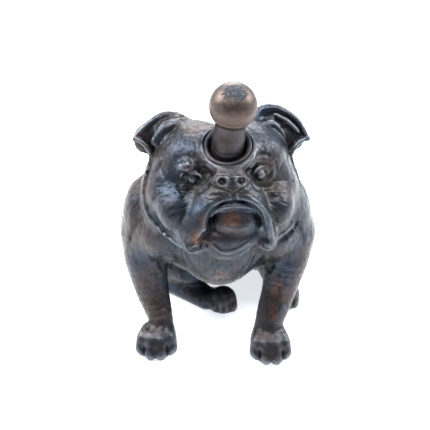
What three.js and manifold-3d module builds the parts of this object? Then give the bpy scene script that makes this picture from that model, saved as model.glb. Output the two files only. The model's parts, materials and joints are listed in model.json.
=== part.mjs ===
// A seated bulldog money box in cast bronze. A ball-topped knob in a collar in the forehead is pressed
// against its spring, and a link from its tail swings the coin trap in the seat open. Coins go in at the nape.
// Millimetres. The dog faces -Y, +X is its left, +Z is up, and it sits on z = 0.

import * as THREE from "three";
import { mergeVertices } from "three/addons/utils/BufferGeometryUtils.js";
import Module from "manifold-3d";

const wasm = await Module();
wasm.setup();

const degrees = THREE.MathUtils.degToRad;

// ---- Driving dimensions ----

const GAP = 0.3; // between neighbouring pieces
const HEAD_CELL = 3.3; // grid that the head's clay is meshed on
const BODY_CELL = 5;
const LEG_CELL = 3.2;

const HEAD_AT = new THREE.Vector3(2, -2, 93);
const HEAD_PITCH = degrees(-26); // the face looks up
const HEAD_YAW = degrees(9);
const HEAD_ROLL = degrees(4);

const COLLAR_AT = new THREE.Vector3(4.8, -14, 118); // middle of the collar's mouth
const KNOB_TILT = degrees(4); // the knob leans forward by this
const KNOB_LEAN = degrees(6); // and to the dog's left by this
const RIM_SLOPE = degrees(22); // the collar's rim lies on the sloping forehead

// The knob travels 8 mm, and the trap opens by about 35 degrees.
const HINGE_AT = { y: 17.3, z: 21.75 };
const TRAP_PIN = { y: 6.24, z: 9.06 }; // the link's lower pin at rest, from the trap's hinge
const PLATE_THICK = 2.5;
const PLATE_HALF = [23.7, 21.7];
const PLATE_CORNER = 10;
const MOUTH_HALF = 15; // half the width of the trap's opening
const MOUTH_LENGTH = 30;
const MOUTH_AHEAD = 3; // how far the opening runs ahead of the hinge

const SLOT = { width: 31, gap: 4.6, at: new THREE.Vector3(2, 36, 92), deep: 44 };

const BORE = 8.2;
const SLEEVE = { rim: 11.4, rimDeep: 8, outer: 10, mouth: 8.9, mouthDeep: 6, floor: 28, bottom: 31, proud: 1 };
const NUT = { top: 20.3, thick: 4, acrossFlats: 23 };
const ROD = { radius: 2.5, top: 8, bottom: 37.5 };
const KNOB = { ball: 10.8, ballAt: 21, bead: 9.25, neck: 7, shank: 7.6, bottom: 13 };
const WASHER = { inner: 3.2, outer: 7.6, thick: 1 };
const SPRING = { coil: 6, wire: 0.6, turns: 3 };
const TAIL = { nut: 31.3, fork: 34.6, pin: 42, gap: 5 };
const LINK = { eye: 3.6, eyeThick: 2.6, eyeLength: 8.5, clevis: 15, gap: 4.6 };
const PIN = 1.5;
const PIN_PLAY = 0.45; // of a pin in its eye
const HINGE = { pin: 1.2, barrel: 2.6, inner: 8.7, outer: 14 };
const SCREW = { shank: 1.5, head: 2.7, headThick: 1.8, length: 9 };

// ---- Materials ----

const bronze = new THREE.MeshStandardMaterial({ color: 0x34322f, roughness: 0.42, metalness: 0.85 });
const knobBronze = new THREE.MeshStandardMaterial({ color: 0x5c4436, roughness: 0.35, metalness: 0.9 });
const steel = new THREE.MeshStandardMaterial({ color: 0x8a8c8e, roughness: 0.4, metalness: 1 });
const brass = new THREE.MeshStandardMaterial({ color: 0x9a7b45, roughness: 0.4, metalness: 1 });

// ---- Clay: soft-edged masses on a grid, meshed as one closed skin ----

class Clay {
  constructor(low, high, cell) {
    this.low = low;
    this.cell = cell;
    this.count = low.map((v, i) => Math.ceil((high[i] - v) / cell) + 1);
    this.field = new Float32Array(this.count[0] * this.count[1] * this.count[2]).fill(cell * 8);
  }

  index(i, j, k) {
    return (i * this.count[1] + j) * this.count[2] + k;
  }

  join(middle, reach, distance, softness) {
    const first = middle.map((m, i) => Math.max(0, Math.floor((m - reach - this.low[i]) / this.cell)));
    const last = middle.map((m, i) =>
      Math.min(this.count[i] - 1, Math.ceil((m + reach - this.low[i]) / this.cell)));
    const point = new THREE.Vector3();
    for (let i = first[0]; i <= last[0]; i++) {
      for (let j = first[1]; j <= last[1]; j++) {
        for (let k = first[2]; k <= last[2]; k++) {
          point.set(this.low[0] + i * this.cell, this.low[1] + j * this.cell, this.low[2] + k * this.cell);
          const at = this.index(i, j, k);
          const a = this.field[at];
          const b = distance(point);
          const mix = THREE.MathUtils.clamp(0.5 + (0.5 * (b - a)) / softness, 0, 1);
          this.field[at] = THREE.MathUtils.lerp(b, a, mix) - softness * mix * (1 - mix);
        }
      }
    }
  }

  // An ellipsoid.
  blob(centre, radii, softness = 6) {
    const [cx, cy, cz] = centre;
    const [rx, ry, rz] = radii;
    const distance = (p) => {
      const x = (p.x - cx) / rx;
      const y = (p.y - cy) / ry;
      const z = (p.z - cz) / rz;
      const size = Math.hypot(x, y, z);
      return (size * (size - 1)) / (Math.hypot(x / rx, y / ry, z / rz) + 1e-9);
    };
    this.join(centre, Math.max(...radii) + softness + 2 * this.cell, distance, softness);
  }

  // A tapered bar with round ends.
  limb(from, fromRadius, to, toRadius, softness = 4) {
    const a = new THREE.Vector3(...from);
    const along = new THREE.Vector3(...to).sub(a);
    const middle = a.clone().addScaledVector(along, 0.5).toArray();
    const offset = new THREE.Vector3();
    const distance = (p) => {
      offset.subVectors(p, a);
      const t = THREE.MathUtils.clamp(offset.dot(along) / along.lengthSq(), 0, 1);
      return offset.addScaledVector(along, -t).length() - THREE.MathUtils.lerp(fromRadius, toRadius, t);
    };
    const reach = along.length() / 2 + Math.max(fromRadius, toRadius) + softness + 2 * this.cell;
    this.join(middle, reach, distance, softness);
  }

  // A chain of limbs, given as [x, y, z, radius].
  chain(stations, softness) {
    for (let i = 0; i + 1 < stations.length; i++) {
      const [a, b] = [stations[i], stations[i + 1]];
      this.limb(a.slice(0, 3), a[3], b.slice(0, 3), b[3], softness);
    }
  }

  // Fills each grid square whose diagonals lie on opposite sides of the skin, where it would touch itself.
  fillPinches() {
    const [ni, nj, nk] = this.count;
    const steps = [[[0, 1, 0], [0, 0, 1]], [[1, 0, 0], [0, 0, 1]], [[1, 0, 0], [0, 1, 0]]];
    let found = false;
    for (let i = 0; i + 1 < ni; i++) {
      for (let j = 0; j + 1 < nj; j++) {
        for (let k = 0; k + 1 < nk; k++) {
          for (const [u, v] of steps) {
            const square = [
              this.index(i, j, k),
              this.index(i + u[0], j + u[1], k + u[2]),
              this.index(i + u[0] + v[0], j + u[1] + v[1], k + u[2] + v[2]),
              this.index(i + v[0], j + v[1], k + v[2]),
            ];
            const inside = square.map((at) => this.field[at] < 0);
            if (inside[0] !== inside[2] || inside[1] !== inside[3] || inside[0] === inside[1]) continue;
            this.field[square[inside[0] ? 1 : 0]] = -0.2 * this.cell;
            found = true;
          }
        }
      }
    }
    return found;
  }

  // One vertex in each cell that the skin crosses, and a quad across each grid edge that it crosses.
  geometry() {
    while (this.fillPinches());
    const [ni, nj, nk] = this.count;
    const corners = [];
    for (let c = 0; c < 8; c++) corners.push([c >> 2, (c >> 1) & 1, c & 1]);
    const edges = [];
    for (let c = 0; c < 8; c++) {
      for (const bit of [1, 2, 4]) if (!(c & bit)) edges.push([c, c | bit]);
    }
    const vertexOf = new Map();
    const positions = [];
    for (let i = 0; i + 1 < ni; i++) {
      for (let j = 0; j + 1 < nj; j++) {
        for (let k = 0; k + 1 < nk; k++) {
          const value = corners.map(([a, b, c]) => this.field[this.index(i + a, j + b, k + c)]);
          const sum = [0, 0, 0];
          let hits = 0;
          for (const [p, q] of edges) {
            if (value[p] < 0 === value[q] < 0) continue;
            const t = value[p] / (value[p] - value[q]);
            for (let axis = 0; axis < 3; axis++) {
              sum[axis] += THREE.MathUtils.lerp(corners[p][axis], corners[q][axis], t);
            }
            hits++;
          }
          if (hits === 0) continue;
          vertexOf.set(this.index(i, j, k), positions.length / 3);
          const cell = [i, j, k];
          for (let axis = 0; axis < 3; axis++) {
            positions.push(this.low[axis] + this.cell * (cell[axis] + sum[axis] / hits));
          }
        }
      }
    }
    const faces = [];
    const size = [ni, nj, nk];
    for (let axis = 0; axis < 3; axis++) {
      const u = (axis + 1) % 3;
      const v = (axis + 2) % 3;
      const at = [0, 0, 0];
      for (at[axis] = 0; at[axis] + 1 < size[axis]; at[axis]++) {
        for (at[u] = 1; at[u] + 1 < size[u]; at[u]++) {
          for (at[v] = 1; at[v] + 1 < size[v]; at[v]++) {
            const next = [...at];
            next[axis]++;
            const inside = this.field[this.index(...at)] < 0;
            if (inside === this.field[this.index(...next)] < 0) continue;
            const ring = [[1, 1], [0, 1], [0, 0], [1, 0]].map(([a, b]) => {
              const cell = [...at];
              cell[u] -= a;
              cell[v] -= b;
              return vertexOf.get(this.index(...cell));
            });
            if (!inside) ring.reverse();
            faces.push(ring[0], ring[1], ring[2], ring[0], ring[2], ring[3]);
          }
        }
      }
    }
    const geometry = new THREE.BufferGeometry();
    geometry.setAttribute("position", new THREE.Float32BufferAttribute(positions, 3));
    geometry.setIndex(faces);
    return geometry;
  }
}

// ---- Solids ----

function toManifold(geometry, matrix = new THREE.Matrix4()) {
  let plain = geometry.clone();
  plain.deleteAttribute("normal");
  plain.deleteAttribute("uv");
  plain.applyMatrix4(matrix);
  plain = mergeVertices(plain, 1e-4);
  const mesh = new wasm.Mesh({
    numProp: 3,
    vertProperties: new Float32Array(plain.attributes.position.array),
    triVerts: new Uint32Array(plain.index.array),
  });
  return new wasm.Manifold(mesh);
}

function fromManifold(manifold) {
  const mesh = manifold.getMesh();
  const geometry = new THREE.BufferGeometry();
  geometry.setAttribute("position", new THREE.BufferAttribute(new Float32Array(mesh.vertProperties), 3));
  geometry.setIndex(new THREE.BufferAttribute(new Uint32Array(mesh.triVerts), 1));
  geometry.computeVertexNormals();
  return geometry;
}

const cut = (geometry, ...tools) =>
  fromManifold(tools.reduce((solid, tool) => solid.subtract(toManifold(tool)), toManifold(geometry)));

const fuse = (geometry, ...others) =>
  fromManifold(others.reduce((solid, other) => solid.add(toManifold(other)), toManifold(geometry)));

// A solid of revolution about Z. The profile's points are [radius, height], anticlockwise.
function turned(profile, segments = 28) {
  const points = [...profile, profile[0]].map(([r, h]) => new THREE.Vector2(r, h));
  if (profile[0][0] === 0) points.pop();
  return new THREE.LatheGeometry(points, segments).rotateX(Math.PI / 2);
}

function rod(radius, bottom, top, segments = 20) {
  return turned([[0, bottom], [radius, bottom], [radius, top], [0, top]], segments);
}

function tube(inner, outer, bottom, top, segments = 28) {
  return turned([[inner, bottom], [outer, bottom], [outer, top], [inner, top]], segments);
}

function crossRod(radius, half, y, z) {
  return rod(radius, -half, half, 16).rotateY(Math.PI / 2).translate(0, y, z);
}

function box(from, to) {
  const size = to.map((v, i) => v - from[i]);
  const middle = to.map((v, i) => (v + from[i]) / 2);
  return new THREE.BoxGeometry(...size).translate(...middle);
}

function roundedBlock(halfX, halfY, corner, bottom, top) {
  const shape = new THREE.Shape();
  shape.moveTo(halfX, -halfY + corner);
  shape.absarc(halfX - corner, halfY - corner, corner, 0, Math.PI / 2);
  shape.absarc(-halfX + corner, halfY - corner, corner, Math.PI / 2, Math.PI);
  shape.absarc(-halfX + corner, -halfY + corner, corner, Math.PI, 1.5 * Math.PI);
  shape.absarc(halfX - corner, -halfY + corner, corner, 1.5 * Math.PI, 2 * Math.PI);
  const settings = { depth: top - bottom, bevelEnabled: false, curveSegments: 5 };
  return new THREE.ExtrudeGeometry(shape, settings).translate(0, 0, bottom);
}

function hexNut(acrossFlats, hole, bottom, top) {
  const body = rod(acrossFlats / Math.sqrt(3), bottom, top, 6);
  return cut(body, rod(hole, bottom - 1, top + 1));
}

function named(name, geometry, material) {
  const mesh = new THREE.Mesh(geometry, material);
  mesh.name = name;
  return mesh;
}

// ---- Frames ----

// plunger: origin in the middle of the collar's mouth, Z up the knob's axis.
// link: origin at the lower pin, Z up the link.
const dog = new THREE.Group();
const plunger = new THREE.Group();
plunger.position.copy(COLLAR_AT);
plunger.rotation.set(KNOB_TILT, KNOB_LEAN, 0);
const link = new THREE.Group();
dog.add(plunger, link);
dog.updateMatrixWorld(true);

const upperPin = plunger.localToWorld(new THREE.Vector3(0, 0, -TAIL.pin));
const lowerPin = new THREE.Vector3(upperPin.x, HINGE_AT.y + TRAP_PIN.y, HINGE_AT.z + TRAP_PIN.z);
const linkLength = upperPin.distanceTo(lowerPin);
link.position.copy(lowerPin);
link.rotation.x = Math.atan2(lowerPin.y - upperPin.y, upperPin.z - lowerPin.z);
dog.updateMatrixWorld(true);

const mouthFrom = HINGE_AT.y - MOUTH_AHEAD;
const mouthTo = mouthFrom + MOUTH_LENGTH;
const plateY = (mouthFrom + mouthTo) / 2;
const plateTop = HINGE_AT.z + PLATE_THICK / 2;
const plateBottom = HINGE_AT.z - PLATE_THICK / 2;
const screwPlaces = [[1, 1], [-1, 1], [1, -1]].map(([x, y]) => [x * 18.6, plateY + y * 16.8]);

// ---- The casting's outer shape ----

const SIDES = [-1, 1];

function headClay() {
  const clay = new Clay([-52, -42, -46], [52, 34, 44], HEAD_CELL);
  for (const s of SIDES) {
    clay.blob([s * 13, 0, 9], [21, 24, 20], 8); // skull
    clay.blob([s * 23, -3, -7], [15.5, 17, 18], 8); // cheek
    clay.blob([s * 15, -14, 12], [11, 8, 7], 5); // brow
  }
  clay.blob([0, -22, -4], [15, 11, 11], 6); // muzzle
  clay.blob([0, -14, -24], [17, 16, 13], 6); // throat
  clay.blob([0, -18, -13], [24, 10, 12], 6); // inside of the jaws
  clay.blob([0, -30.5, 2], [7.5, 5, 5.5], 2.5); // nose pad
  for (const s of SIDES) {
    const flew = [[s * 4, -29, -3.5, 5], [s * 11, -28.5, -9, 7.5], [s * 17.5, -26, -18, 6.5]];
    clay.chain([...flew, [s * 18.6, -25, -27, 3.8]], 3);
    clay.chain([[s * 19, 4, 26, 5], [s * 27, 4, 31, 4.8], [s * 36, 1, 28, 4], [s * 43, -1, 20, 2.6]], 3);
    clay.limb([s * 30, 3, 21], 5, [s * 38, 1, 19], 3, 3); // ear's lower fold
  }
  clay.blob([0, -24, -17.5], [11.5, 8, 10], 2); // lower lip
  clay.blob([0, -21, -30], [9, 8, 6], 3); // chin
  return clay.geometry();
}

function bodyClay() {
  const clay = new Clay([-62, -54, -12], [62, 74, 116], BODY_CELL);
  clay.blob([1, 6, 64], [41, 32, 36], 8); // ribs
  clay.blob([1, -14, 60], [26, 20, 24], 8); // brisket
  clay.blob([1, 12, 86], [38, 22, 22], 8); // neck
  clay.blob([2, 28, 60], [38, 31, 36], 8); // back
  clay.blob([0, 40, 30], [37, 28, 30], 8); // rump
  clay.blob([0, 12, 32], [27, 13, 12], 6); // underside, from the belly back to the seat
  clay.blob([0, 22, 22], [28, 12, 12], 6);
  clay.blob([-15, 9, 26], [15, 13, 13], 6);
  clay.blob([-1, 33, 12], [32, 13, 12], 6);
  clay.blob([-2, 42, 4], [35, 21, 12], 5); // seat
  for (const s of SIDES) clay.blob([s * 36, 2, 64], [16, 20, 27], 6); // shoulder
  clay.chain([[-39, -2, 54, 13], [-38, -10, 38, 11], [-33, -23, 14, 8]], 5);
  clay.chain([[40, -2, 54, 13], [37, -12, 38, 10.5], [28.5, -27, 14, 8]], 5);
  clay.blob([-33.5, -31, 6.5], [11, 11, 9], 4); // fore paws
  clay.blob([29.5, -34, 6.5], [11, 11, 9], 4);
  clay.blob([-30, 26, 26], [17, 24, 25], 6); // haunches
  clay.blob([37, 25, 28], [16, 25, 26], 6);
  clay.limb([38, 14, 12], 9.5, [42, 2, 6], 7.5, 4); // left hind leg
  clay.blob([42.5, 3, 6], [8.5, 11, 8], 3);
  clay.limb([3, 65, 20], 6, [-1, 68, 14], 4, 4); // screw tail
  return clay.geometry();
}

// The right hind leg, folded across under the belly.
function foldedLegClay() {
  const clay = new Clay([-44, -20, -8], [18, 30, 26], LEG_CELL);
  clay.limb([-30, 15, 9], 8.5, [-6, -2, 7], 7.5, 5);
  clay.blob([3, -5, 6], [9, 10, 8], 3);
  return clay.geometry();
}

// ---- The casting's hollows ----

function castingGeometry() {
  const head = new THREE.Object3D();
  head.rotation.set(HEAD_PITCH, HEAD_ROLL, HEAD_YAW, "ZXY");
  head.position.copy(HEAD_AT);
  head.updateMatrixWorld(true);
  let casting = toManifold(bodyClay()).add(toManifold(headClay(), head.matrixWorld));

  const inPlunger = (geometry) => toManifold(geometry, plunger.matrixWorld);
  const inDog = (geometry) => toManifold(geometry);
  const room = (centre, radii) =>
    inDog(new THREE.SphereGeometry(1, 18, 12).scale(...radii).translate(...centre));
  const slotFrom = [SLOT.at.x - SLOT.width / 2, SLOT.at.y - SLOT.gap / 2, SLOT.at.z - SLOT.deep / 2];
  const slotTo = [SLOT.at.x + SLOT.width / 2, SLOT.at.y + SLOT.gap / 2, SLOT.at.z + SLOT.deep / 2];
  const chute = box([-MOUTH_HALF, mouthFrom - 2, plateTop - 0.5], [MOUTH_HALF, mouthTo, 62]);
  const pocketHalf = PLATE_HALF.map((half) => half + GAP);
  const pocket = roundedBlock(...pocketHalf, PLATE_CORNER + GAP, -1, plateTop + GAP);
  const hollows = [
    room([1, 18, 64], [32, 29, 29]), // coin room
    room([2, 0, 91], [20, 17, 19]), // inside of the head
    inDog(chute),
    inDog(pocket.translate(0, plateY, 0)),
    inPlunger(rod(14.5, -36, GAP - NUT.top, 24)),
    inPlunger(rod(11, -56, -30, 20)),
    inPlunger(rod(SLEEVE.outer + GAP, -SLEEVE.bottom, 0, 28)),
    inPlunger(rod(SLEEVE.rim + GAP, -SLEEVE.rimDeep - GAP, 16, 28)),
    inDog(box(slotFrom, slotTo)),
  ];
  for (const [x, y] of screwPlaces) {
    const hole = rod(SCREW.shank + GAP, plateBottom, plateBottom + SCREW.length + 1, 12);
    hollows.push(inDog(hole.translate(x, y, 0)));
  }
  for (const hollow of hollows) casting = casting.subtract(hollow);
  const aboveFloor = toManifold(box([-90, -90, 0], [90, 90, 180]));
  return fromManifold(casting.add(toManifold(foldedLegClay())).intersect(aboveFloor));
}

// ---- The knob and its guide ----

function knobProfile() {
  const { ball, ballAt, bead, neck, shank, bottom } = KNOB;
  const profile = [[0, -bottom], [shank - 0.4, -bottom], [shank, 0.4 - bottom]];
  profile.push([shank, 4.6], [shank - 0.2, 6], [neck + 0.3, 7.6], [neck, 9]);
  profile.push([neck, 11], [neck + 0.3, 12.8], [bead - 0.6, 14.6], [bead, 15.9], [bead - 0.2, 16.8]);
  const steps = 10;
  const startAngle = degrees(-21);
  for (let i = 0; i <= steps; i++) {
    const angle = THREE.MathUtils.lerp(startAngle, Math.PI / 2, i / steps);
    const radius = i === steps ? 0 : ball * Math.cos(angle);
    profile.push([radius, ballAt + ball * Math.sin(angle)]);
  }
  return profile;
}

// A stepped tube with a floor. Its top is cut on the forehead's slope.
function sleeveGeometry() {
  const { rim, rimDeep, outer, mouth, mouthDeep, floor, bottom, proud } = SLEEVE;
  const sleeve = turned([
    [ROD.radius + GAP, -bottom],
    [outer, -bottom],
    [outer, -rimDeep],
    [rim, -rimDeep],
    [rim, 12],
    [mouth, 12],
    [mouth, -mouthDeep],
    [BORE, -mouthDeep - 1],
    [BORE, -floor],
    [ROD.radius + GAP, -floor],
  ]);
  const above = box([-30, -30, proud], [30, 30, 40]).rotateX(RIM_SLOPE);
  const unturned = new THREE.Matrix4().makeRotationFromEuler(plunger.rotation).invert();
  return cut(sleeve, above.applyMatrix4(unturned));
}

function springGeometry(bottom, top, coilRadius, wire, turns) {
  class Helix extends THREE.Curve {
    getPoint(t) {
      const angle = t * turns * 2 * Math.PI;
      const height = THREE.MathUtils.lerp(bottom + wire, top - wire, t);
      return new THREE.Vector3(coilRadius * Math.cos(angle), coilRadius * Math.sin(angle), height);
    }
  }
  const section = new THREE.Shape().absarc(0, 0, wire, 0, 2 * Math.PI);
  const settings = { steps: Math.round(turns * 12), curveSegments: 3, extrudePath: new Helix(), bevelEnabled: false };
  return new THREE.ExtrudeGeometry(section, settings);
}

// A fork about a pin at the origin, 2 prongs across X, with a socket for a rod from above.
function forkGeometry(gap, slotTop, top) {
  const halfWidth = 4.5;
  const outline = new THREE.Shape();
  outline.absarc(0, 0, LINK.eye, Math.PI, 2 * Math.PI);
  outline.lineTo(4.5, slotTop);
  outline.lineTo(4.5, top);
  outline.lineTo(-4.5, top);
  outline.lineTo(-4.5, slotTop);
  const settings = { depth: 2 * halfWidth, bevelEnabled: false, curveSegments: 8 };
  const block = new THREE.ExtrudeGeometry(outline, settings).translate(0, 0, -halfWidth);
  block.rotateY(Math.PI / 2).rotateX(Math.PI / 2);
  const slot = box([-gap / 2, -9, -9], [gap / 2, 9, slotTop]);
  const socket = rod(ROD.radius + GAP, slotTop - 1, top + 1, 16);
  return cut(block, slot, socket, crossRod(PIN + GAP, 9, 0, 0));
}

// A rod with a flat eye at its upper end.
function linkRodGeometry() {
  const shoulder = linkLength - LINK.eyeLength;
  const blade = new THREE.Shape();
  blade.absarc(0, linkLength, LINK.eye, 0, Math.PI);
  blade.lineTo(-2.4, linkLength - 3);
  blade.lineTo(-2.4, shoulder - 4);
  blade.lineTo(2.4, shoulder - 4);
  blade.lineTo(2.4, linkLength - 3);
  const settings = { depth: LINK.eyeThick, bevelEnabled: false, curveSegments: 10 };
  const eye = new THREE.ExtrudeGeometry(blade, settings).translate(0, 0, -LINK.eyeThick / 2);
  eye.rotateY(Math.PI / 2).rotateX(Math.PI / 2);
  return cut(fuse(rod(ROD.radius, 7.3, shoulder, 18), eye), crossRod(PIN + PIN_PLAY, 5, 0, linkLength));
}

const knobSocket = rod(ROD.radius + GAP, -KNOB.bottom - 1, GAP - ROD.top, 16);
const springTop = -KNOB.bottom - GAP;
const washerBottom = GAP - SLEEVE.floor;
const springBottom = washerBottom + WASHER.thick + GAP;

plunger.add(
  named("press_knob", cut(turned(knobProfile(), 32), knobSocket), knobBronze),
  named("push_rod", rod(ROD.radius, -ROD.bottom, -ROD.top, 18), steel),
  named("guide_sleeve", sleeveGeometry(), bronze),
  named("sleeve_nut", hexNut(NUT.acrossFlats, SLEEVE.outer + GAP, -NUT.top - NUT.thick, -NUT.top), brass),
  named("spring_washer", tube(WASHER.inner, WASHER.outer, washerBottom, washerBottom + WASHER.thick), steel),
  named("return_spring", springGeometry(springBottom, springTop, SPRING.coil, SPRING.wire, SPRING.turns), steel),
  named("knob_jam_nut", hexNut(7.5, ROD.radius + GAP, -KNOB.bottom - 2.7, -KNOB.bottom - GAP), steel),
  named("stop_nut", hexNut(9, ROD.radius + GAP, GAP - TAIL.fork, -TAIL.nut), steel),
  named("tail_fork", forkGeometry(TAIL.gap, LINK.eye + 0.4, TAIL.pin - TAIL.fork).translate(0, 0, -TAIL.pin), brass),
  named("fork_pin", crossRod(PIN, 5.4, 0, -TAIL.pin), steel),
);

link.add(
  named("link_rod", linkRodGeometry(), steel),
  named("link_clevis", forkGeometry(LINK.gap, 5.4, LINK.clevis), brass),
  named("link_jam_nut", hexNut(8, ROD.radius + GAP, LINK.clevis + GAP, LINK.clevis + 3.3), steel),
  named("clevis_pin", crossRod(PIN, 5.4, 0, 0), steel),
);

// ---- The trap in the seat ----

function barrel(from, to) {
  return rod(HINGE.barrel, from, to, 18).rotateY(Math.PI / 2).translate(0, HINGE_AT.y, HINGE_AT.z);
}

const hingeHole = crossRod(HINGE.pin + GAP, HINGE.outer + 0.9, HINGE_AT.y, HINGE_AT.z);

function seatPlateGeometry() {
  const plate = roundedBlock(...PLATE_HALF, PLATE_CORNER, plateBottom, plateTop).translate(0, plateY, 0);
  const mouth = box([-MOUTH_HALF, mouthFrom, plateBottom - 1], [MOUTH_HALF, mouthTo, plateTop + 1]);
  const holes = screwPlaces.map(([x, y]) =>
    rod(SCREW.shank + GAP, plateBottom - 1, plateTop + 1, 12).translate(x, y, 0));
  let geometry = cut(plate, mouth, ...holes);
  for (const s of SIDES) {
    const [from, to] = [s * (HINGE.inner + GAP), s * HINGE.outer].sort((a, b) => a - b);
    const web = box([from, mouthFrom - 1, plateBottom], [to, HINGE_AT.y, plateTop]);
    geometry = fuse(geometry, web, barrel(from, to));
  }
  return cut(geometry, hingeHole);
}

// The arm that the link pushes.
function lugGeometry() {
  const lug = new THREE.Shape();
  lug.moveTo(-1, -0.5);
  lug.lineTo(11, -0.5);
  lug.absarc(TRAP_PIN.y, TRAP_PIN.z, 4.2, degrees(-10), degrees(150));
  lug.lineTo(-1, -0.5);
  const eye = new THREE.Path().absarc(TRAP_PIN.y, TRAP_PIN.z, PIN + PIN_PLAY, 0, 2 * Math.PI);
  lug.holes.push(eye);
  const settings = { depth: 3, bevelEnabled: false, curveSegments: 8 };
  const geometry = new THREE.ExtrudeGeometry(lug, settings).translate(0, 0, -1.5);
  return geometry.rotateY(Math.PI / 2).rotateX(Math.PI / 2).translate(0, HINGE_AT.y, HINGE_AT.z);
}

function trapGeometry() {
  const clearance = 0.5;
  const half = MOUTH_HALF - clearance;
  const front = HINGE_AT.y + HINGE.barrel + clearance;
  const door = box([-half, front, plateBottom], [half, mouthTo - clearance, plateTop]);
  const web = box([-HINGE.inner, HINGE_AT.y, plateBottom], [HINGE.inner, front + 1, plateTop]);
  const geometry = fuse(door, web, barrel(-HINGE.inner, HINGE.inner), lugGeometry());
  return cut(geometry, hingeHole);
}

function screwGeometry() {
  const under = plateBottom - GAP;
  return fuse(
    turned([[0, under - SCREW.headThick], [SCREW.head - 0.6, under - SCREW.headThick], [SCREW.head, under], [0, under]], 16),
    rod(SCREW.shank, under - 0.5, under + SCREW.length, 12),
  );
}

dog.add(
  named("seat_plate", seatPlateGeometry(), brass),
  named("trap_door", trapGeometry(), brass),
  named("hinge_pin", crossRod(HINGE.pin, HINGE.outer + 0.6, HINGE_AT.y, HINGE_AT.z), steel),
);
screwPlaces.forEach(([x, y], i) => {
  dog.add(named(`seat_screw_${i + 1}`, screwGeometry().translate(x, y, 0), steel));
});

dog.add(named("bulldog_casting", castingGeometry(), bronze));

// ---- The origin: on the floor, under the middle of the whole ----

const bounds = new THREE.Box3().setFromObject(dog, true);
const middle = bounds.getCenter(new THREE.Vector3());
dog.position.set(-middle.x, -middle.y, 0);

const bank = new THREE.Group();
bank.add(dog);

export default bank;
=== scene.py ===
"""A seated bulldog money box in cast bronze, with a ball-topped press knob in its forehead.

The casting is sculpted as a distance field, three times over: on a fine grid for the face, on a coarser one
for the rest of the head, and on the coarsest for the body. Sculpting is in millimetres, with the dog facing
-Y, its left side at +X and the floor at Z 0. SHIFT carries the sculpt to the frame.
"""
import json
import math

import bmesh
import bpy
import numpy as np
from mathutils import Matrix, Vector


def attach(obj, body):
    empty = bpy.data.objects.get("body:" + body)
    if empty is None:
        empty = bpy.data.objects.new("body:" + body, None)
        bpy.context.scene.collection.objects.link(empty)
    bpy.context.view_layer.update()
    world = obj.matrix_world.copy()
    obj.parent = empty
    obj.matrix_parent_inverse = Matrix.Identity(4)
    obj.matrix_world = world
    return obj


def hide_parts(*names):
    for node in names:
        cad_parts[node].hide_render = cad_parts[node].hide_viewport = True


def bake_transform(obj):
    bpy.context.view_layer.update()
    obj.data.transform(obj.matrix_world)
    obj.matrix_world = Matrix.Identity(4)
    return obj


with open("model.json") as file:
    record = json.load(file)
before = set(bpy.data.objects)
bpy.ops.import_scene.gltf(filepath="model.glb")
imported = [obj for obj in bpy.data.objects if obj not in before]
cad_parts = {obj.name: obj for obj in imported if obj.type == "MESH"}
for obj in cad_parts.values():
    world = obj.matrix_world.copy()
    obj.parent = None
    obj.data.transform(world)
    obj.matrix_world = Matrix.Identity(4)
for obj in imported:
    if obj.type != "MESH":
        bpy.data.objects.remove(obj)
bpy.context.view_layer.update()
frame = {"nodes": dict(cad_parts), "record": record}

MM = 0.001
HINGE_IN_SCULPT = np.array([0.0, 17.3, 21.75])
JOINTS = {joint["name"]: joint for joint in frame["record"]["behaviour"]["joints"]}
SHIFT = np.array(JOINTS["trap_swing"]["pos_m"]) / MM - HINGE_IN_SCULPT

FACE_VOXEL = 0.45
HEAD_VOXEL = 0.66
BODY_VOXEL = 0.85
HEAD_BOX = ((-52, -47, 44), (56, 50, 134))
BODY_BOX = ((-58, -52, -3), (60, 74, 118))
SPLIT_AT = (2.0, -4.0, 98.0)  # the head is what lies in this ball, less the face's own ball
SPLIT_RADIUS = 52.0
FACE_RADIUS = 31.0
LAP = 1.0  # by which the pieces of the casting overlap
FAR = 30.0  # the distance that empty clay holds
HAIRS = 130000
HAIR_SEED = 3
HAIR_REACH = 0.7  # how near the skin a hair's middle has to be
SIDES = (-1, 1)  # the dog's right, then its left
CORNERS = [np.array((i, j, k)) for i in (0, 1) for j in (0, 1) for k in (0, 1)]


def turn(rx, ry, rz):
    """The rotation about X, then Y, then Z, in degrees."""
    angles = ((rx, "X"), (ry, "Y"), (rz, "Z"))
    x, y, z = (np.array(Matrix.Rotation(math.radians(angle), 3, axis)) for angle, axis in angles)
    return z @ y @ x


HEAD_AT = np.array([2.0, -2.0, 93.0])
HEAD_TURN = turn(0, 0, 9) @ turn(-26, 0, 0) @ turn(0, 4, 0)
COLLAR_AT = np.array([4.8, -14.0, 118.0])
KNOB_TURN = turn(4, 0, 0) @ turn(0, 6, 0)
RIM_NORMAL = turn(22, 0, 0) @ np.array([0.0, 0.0, 1.0])
RIM_ACROSS = np.array([1.0, 0.0, 0.0])
RIM_ALONG = np.cross(RIM_NORMAL, RIM_ACROSS)


def on_head(p):
    """A point of the head's own space: X to its left, -Y out of its nose, Z out of its crown."""
    return HEAD_AT + HEAD_TURN @ np.array(p, float)


def on_knob(p):
    """A point of the knob's own space: Z along its stem, 0 at the collar's rim."""
    return COLLAR_AT + KNOB_TURN @ np.array(p, float)


def on_rim(radius, angle, lift=0.0):
    """A point round the collar on the forehead's slope."""
    outward = math.cos(angle) * RIM_ACROSS + math.sin(angle) * RIM_ALONG
    return COLLAR_AT + radius * outward + lift * RIM_NORMAL


def in_frame(p):
    """From the sculpt's millimetres to the frame's metres."""
    return (p + SHIFT) * MM


def in_sculpt(p):
    return np.array(p, float)


# ---- Clay ----


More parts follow.
